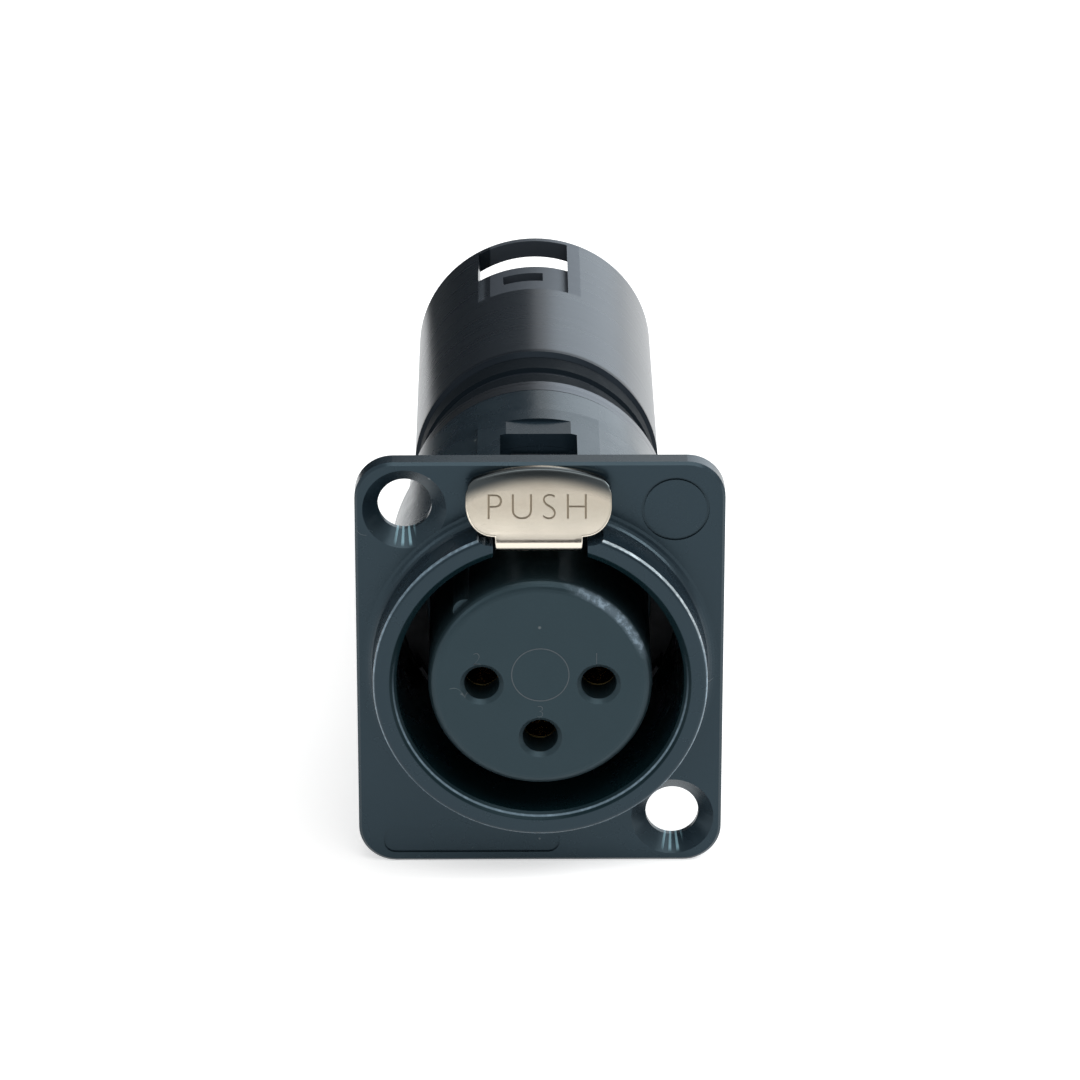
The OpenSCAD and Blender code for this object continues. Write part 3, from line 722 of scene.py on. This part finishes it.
def latch_skin():
    """Front skin of the latch: its outline is cut from a disc, shaped, bent round and run back as the arm."""
    bpy.ops.object.select_all(action="DESELECT")
    bpy.ops.mesh.primitive_circle_add(vertices=360, radius=CROWN_R * MM, fill_type="NGON",
                                      location=(0, 0, CROWN_Z * MM), rotation=(math.pi / 2, 0, 0))
    bpy.ops.object.transform_apply(location=True, rotation=True, scale=True)
    latch = start_piece("push_latch")
    bpy.ops.mesh.select_mode(type="FACE")
    cut_outline(tab_outline())
    neck, arm, low, bend = NECK_W / 2 * MM, ARM_W / 2 * MM, TAB_LOW * MM, BEND_TOP * MM
    bpy.ops.mesh.select_all(action="SELECT")
    bpy.ops.mesh.remove_doubles(threshold=0.04 * MM)
    for width in RINGS:
        bpy.ops.mesh.inset(thickness=width * MM, depth=0)
    for i in range(ROWS):
        select_where(latch, "FACE", lambda centre, normal: inside_rings(centre))
        height = TAB_LOW + RINGS_W + ROW_GAP * (i + 1)
        bpy.ops.mesh.bisect(plane_co=(0, 0, height * MM), plane_no=(0, 0, 1), threshold=TINY)
    for place in [-neck, -arm, arm, neck] + [i * COLUMN_GAP * MM for i in range(-COLUMNS, COLUMNS + 1)]:
        bpy.ops.mesh.select_all(action="SELECT")
        bpy.ops.mesh.bisect(plane_co=(place, 0, 0), plane_no=(1, 0, 0), threshold=TINY)
    # Neck
    select_where(latch, "EDGE", lambda a, b: max(a.z, b.z) < low + TINY and max(abs(a.x), abs(b.x)) < neck + TINY)
    extrude(0, 0, bend - low)
    bpy.ops.object.mode_set(mode="OBJECT")
    for vertex in latch.data.vertices:
        vertex.co.y = skin_y(vertex.co.z / MM) * MM
    # Top edge folded back to the flange, where the latch rocks
    select_where(latch, "EDGE", lambda a, b: on_crown(a) and on_crown(b))
    extrude(0, (FOLD_Y - SKIN_TOP_Y) * MM, 0)
    # Bend at the foot of the neck, then the arm
    neck_y = skin_y(BEND_TOP) * MM
    foot = (BEND_TOP - BEND_R) * MM
    select_where(latch, "EDGE", lambda a, b: max(a.z, b.z) < bend + TINY)
    bpy.ops.mesh.spin(steps=BEND_STEPS, angle=-math.pi / 2, center=(0, neck_y + BEND_R * MM, bend), axis=(1, 0, 0))
    select_where(latch, "EDGE", lambda a, b: max(a.z, b.z) < foot + TINY)
    extrude(0, NECK_END * MM - neck_y - BEND_R * MM, 0)
    select_where(latch, "EDGE", lambda a, b: min(a.y, b.y) > NECK_END * MM - TINY and max(a.z, b.z) < foot + TINY
                 and max(abs(a.x), abs(b.x)) < arm + TINY)
    extrude(0, (ARM_END - NECK_END) * MM, 0)
    bpy.ops.mesh.select_all(action="SELECT")
    bpy.ops.mesh.remove_doubles(threshold=0.002 * MM)
    bpy.ops.mesh.normals_make_consistent(inside=False)
    bpy.ops.object.mode_set(mode="OBJECT")
    if face_near(latch, (0, -4 * MM, 13 * MM)).normal.y > 0:
        flip_faces(latch)
    return latch


def inside_rings(centre):
    """Whether a face's middle lies within the rings along the rim."""
    x, z = abs(centre.x) / MM, centre.z / MM
    low = TAB_LOW + RINGS_W * 0.95
    return x < TAB_W / 2 - RINGS_W and z > low and math.hypot(x, z - CROWN_Z) < CROWN_R - RINGS_W


def on_crown(place):
    """Whether a point lies on the upper rim of the tab's outline, down to the folded edge's end."""
    x, z = abs(place.x) / MM, place.z / MM
    on_corner = x > HIGH_X and math.hypot(x - HIGH_X, z - HIGH_Z) > HIGH_CORNER_R - 0.02
    return z >= FOLD_LOW and (math.hypot(x, z - CROWN_Z) > CROWN_R - 0.02 or on_corner)


def face_near(made, place):
    """Face of a mesh whose middle is nearest to a place."""
    return min(made.data.polygons, key=lambda face: (face.center - Vector(place)).length)


def flip_faces(made):
    """Turn every face of a mesh to look the other way."""
    bpy.ops.object.mode_set(mode="EDIT")
    bpy.ops.mesh.select_all(action="SELECT")
    bpy.ops.mesh.flip_normals()
    bpy.ops.object.mode_set(mode="OBJECT")


def face_outward(made):
    """Turn the faces of a closed mesh outward."""
    only(made)
    bpy.ops.object.mode_set(mode="EDIT")
    bpy.ops.mesh.select_all(action="SELECT")
    bpy.ops.mesh.normals_make_consistent(inside=False)
    bpy.ops.object.mode_set(mode="OBJECT")


def only(made):
    """Select one object and make it the active one."""
    bpy.ops.object.select_all(action="DESELECT")
    made.select_set(True)
    bpy.context.view_layer.objects.active = made


def apply_modifiers(made):
    """Apply a piece's modifiers in order."""
    only(made)
    for modifier in list(made.modifiers):
        bpy.ops.object.modifier_apply(modifier=modifier.name)


def latch_hook():
    """Hook under the end of the arm: a block with a sloping front."""
    bpy.ops.object.select_all(action="DESELECT")
    low, high = ARM_Z - SHEET_T / 2 - HOOK_DROP, ARM_Z - 0.05
    middle = (0, (HOOK_FRONT + HOOK_BACK) / 2 * MM, (low + high) / 2 * MM)
    bpy.ops.mesh.primitive_cube_add(size=1, location=middle,
                                    scale=(ARM_W * MM, (HOOK_BACK - HOOK_FRONT) * MM, (high - low) * MM))
    bpy.ops.object.transform_apply(location=True, rotation=True, scale=True)
    hook = start_piece("latch_hook")
    select_where(hook, "EDGE", lambda a, b: max(a.z, b.z) < low * MM + TINY
                 and max(a.y, b.y) < HOOK_FRONT * MM + TINY)
    bpy.ops.transform.translate(value=(0, HOOK_SLOPE * MM, 0))
    bpy.ops.mesh.select_all(action="SELECT")
    bpy.ops.mesh.bevel(offset=0.1 * MM, segments=3)
    bpy.ops.object.mode_set(mode="OBJECT")
    return hook


def lettering(name, words, size, depth, thin, spacing=1.0):
    """Plain generic letters as a solid, upright in the X-Z plane round the origin."""
    bpy.ops.object.select_all(action="DESELECT")
    bpy.ops.object.text_add(rotation=(math.pi / 2, 0, 0))
    made = bpy.context.object
    made.name = name
    data = made.data
    data.body = words
    data.size = size * MM
    data.extrude = depth / 2 * MM
    data.offset = -thin * MM
    data.resolution_u = 6
    data.align_x = "CENTER"
    data.align_y = "CENTER"
    data.space_character = spacing
    bpy.ops.object.convert(target="MESH")
    made = bpy.context.object
    bpy.ops.object.transform_apply(location=True, rotation=True, scale=True)
    bpy.ops.object.mode_set(mode="EDIT")
    bpy.ops.mesh.select_all(action="SELECT")
    bpy.ops.mesh.remove_doubles(threshold=0.003 * MM)
    bpy.ops.object.mode_set(mode="OBJECT")
    return made


def push_word():
    """The word that is pressed into the tab; its depth follows the tab's skin."""
    word = lettering("push_word", "PUSH", WORD_SIZE, 1.0, WORD_THIN, WORD_SPACING)
    word.scale = (WORD_W * MM / word.dimensions.x, 1, WORD_H * MM / word.dimensions.z)
    word.location = (WORD_X * MM, 0, WORD_Z * MM)
    only(word)
    bpy.ops.object.transform_apply(location=True, rotation=True, scale=True)
    for vertex in word.data.vertices:
        depth = -WORD_ABOVE if vertex.co.y < 0 else WORD_DEPTH
        vertex.co.y = (skin_y(vertex.co.z / MM) + depth) * MM
    face_outward(word)
    return word


def cut(made, tool):
    """Cut a tool's shape out of a piece, and remove the tool."""
    modifier = made.modifiers.new("cut", "BOOLEAN")
    modifier.operation = "DIFFERENCE"
    modifier.solver = "EXACT"
    modifier.material_mode = "TRANSFER"
    modifier.object = tool
    apply_modifiers(made)
    bpy.data.objects.remove(tool, do_unlink=True)


def latch_piece(sheet, engraved):
    """Pressed latch of nickel sheet: crowned tab with the word on it, neck, arm and hook."""
    latch = latch_skin()
    latch.data.materials.append(sheet)
    only(latch)
    wall = latch.modifiers.new("sheet", "SOLIDIFY")
    wall.thickness = SHEET_T * MM
    wall.offset = -1
    apply_modifiers(latch)
    face_outward(latch)
    rim = latch.modifiers.new("rim", "BEVEL")
    rim.width = 0.12 * MM
    rim.segments = 4
    rim.limit_method = "ANGLE"
    rim.angle_limit = math.radians(55)
    rim.use_clamp_overlap = False
    apply_modifiers(latch)
    face_outward(latch)
    word = push_word()
    # The cut faces of the letters take the darker nickel: painted shade in the grooves
    word.data.materials.clear()
    word.data.materials.append(engraved)
    cut(latch, word)
    hook = latch_hook()
    hook.data.materials.append(sheet)
    only(latch)
    hook.select_set(True)
    bpy.ops.object.join()
    latch.location.x = SIDE_PLAY * MM
    bpy.ops.object.transform_apply(location=True, rotation=True, scale=True)
    bpy.ops.object.shade_smooth_by_angle(angle=math.radians(35))
    return latch


def contact_numeral(number, x, z):
    """Raised numeral beside a contact hole, on the insulator's face."""
    made = lettering(f"numeral_{number}", str(number), NUMERAL_SIZE, NUMERAL_DEPTH, 0.045)
    made.location = (x * MM, (FRONT_Y + NUMERAL_SINK) * MM, z * MM)
    only(made)
    bpy.ops.object.transform_apply(location=True, rotation=True, scale=True)
    return made


def gate_mark():
    """Thin raised circle in the middle of the insulator's face, left by its mould."""
    bpy.ops.object.select_all(action="DESELECT")
    bpy.ops.mesh.primitive_circle_add(vertices=96, radius=GATE_R * MM, fill_type="NGON",
                                      location=(0, FRONT_Y * MM, GATE_Z * MM), rotation=(math.pi / 2, 0, 0))
    bpy.ops.object.transform_apply(location=True, rotation=True, scale=True)
    mark = start_piece("gate_mark")
    bpy.ops.mesh.select_all(action="SELECT")
    bpy.ops.mesh.inset(thickness=GATE_LINE * MM, depth=0)
    bpy.ops.mesh.delete(type="FACE")
    bpy.ops.mesh.select_all(action="SELECT")
    extrude(0, -GATE_RISE * MM, 0)
    bpy.ops.mesh.select_all(action="SELECT")
    bpy.ops.mesh.normals_make_consistent(inside=False)
    bpy.ops.object.mode_set(mode="OBJECT")
    return mark


def give(made, material, body):
    """Finish a piece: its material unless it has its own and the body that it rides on."""
    if not made.data.materials:
        made.data.materials.append(material)
    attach(made, body)


set_camera()
set_lights()
set_world()
set_floor()
studio_card("card_back_left", ((-0.5, 0.6, FLOOR_Z * MM), (-0.005, 0.6, 0.33)))
on_floor = FLOOR_Z * MM + 0.0005
studio_card("card_low_left", ((-0.5, 0.125, on_floor), (-0.012, 0.6, on_floor)))
studio_card("card_front", ((-0.5, -0.62, FLOOR_Z * MM), (0.5, -0.62, 0.2)))

dress(["flange_plate", "flange_shell", "chamber_sleeve"], black_paint())
dress(["rear_shell"], satin_black())
dress(["lock_ring"], bright_plate())
nickel = nickel_sheet()
dress(["latch_lever"], nickel)
nylon = black_nylon()
dress(["female_insert", "male_insert"], nylon)
retainer_nylon = soft_skin("grey_nylon", (0.035, 0.037, 0.04), (0.055, 0.057, 0.06), 0.5, 0.2)
dress(["contact_retainer"], retainer_nylon)
gold = metal("gold_plate", (0.66, 0.46, 0.17), (0.8, 0.6, 0.28), 0.25)
dress([f"pin_contact_{i}" for i in (1, 2, 3)], gold)
# Darker gold on the socket contacts, deep in their holes, is painted shade
shaded_gold = metal("shaded_gold", (0.3, 0.2, 0.07), (0.42, 0.3, 0.12), 0.3)
dress([f"socket_contact_{i}" for i in (1, 2, 3)], shaded_gold)
rubber = soft_skin("seal_rubber", (0.002, 0.0035, 0.005), (0.004, 0.0065, 0.009), 0.6, 0.3)
dress(["front_seal", "rear_seal"], rubber)
# Near-black steel on the earth spring inside the bore is painted shade
dress(["earth_spring"], metal("bore_shade_steel", (0.012, 0.014, 0.017), (0.02, 0.022, 0.026), 0.5, 0.6))
spring_steel = metal("blue_spring_steel", (0.14, 0.15, 0.18), (0.22, 0.23, 0.25), 0.32)
dress(["latch_spring", "insert_clip"], spring_steel)
copper = metal("tinned_copper", (0.6, 0.38, 0.26), (0.75, 0.5, 0.34), 0.35)
dress([f"link_wire_{i}" for i in (1, 2, 3)], copper)
dress(["wire_sleeve_1"], soft_skin("green_sleeve", (0.04, 0.2, 0.07), (0.07, 0.28, 0.1), 0.45, 0.1))
dress(["wire_sleeve_2"], soft_skin("red_sleeve", (0.38, 0.035, 0.03), (0.5, 0.06, 0.05), 0.45, 0.1))
dress(["wire_sleeve_3"], soft_skin("blue_sleeve", (0.04, 0.1, 0.36), (0.06, 0.15, 0.46), 0.45, 0.1))

# Paler nylon for the raised numerals and the gate mark
pale_marks = metal("pale_mark_nylon", (0.045, 0.06, 0.07), (0.075, 0.095, 0.11), 0.5, 0.0)
# Darker nickel for the grooves of the word is painted shade
latch = latch_piece(nickel, metal("groove_shade_nickel", (0.2, 0.165, 0.12), (0.26, 0.22, 0.16), 0.45))
give(latch, nickel, "latch")
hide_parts("latch_lever")
for number, x, z in NUMERALS:
    give(contact_numeral(number, x, z), pale_marks, "body")
give(gate_mark(), pale_marks, "body")

scene.view_settings.view_transform = "Standard"
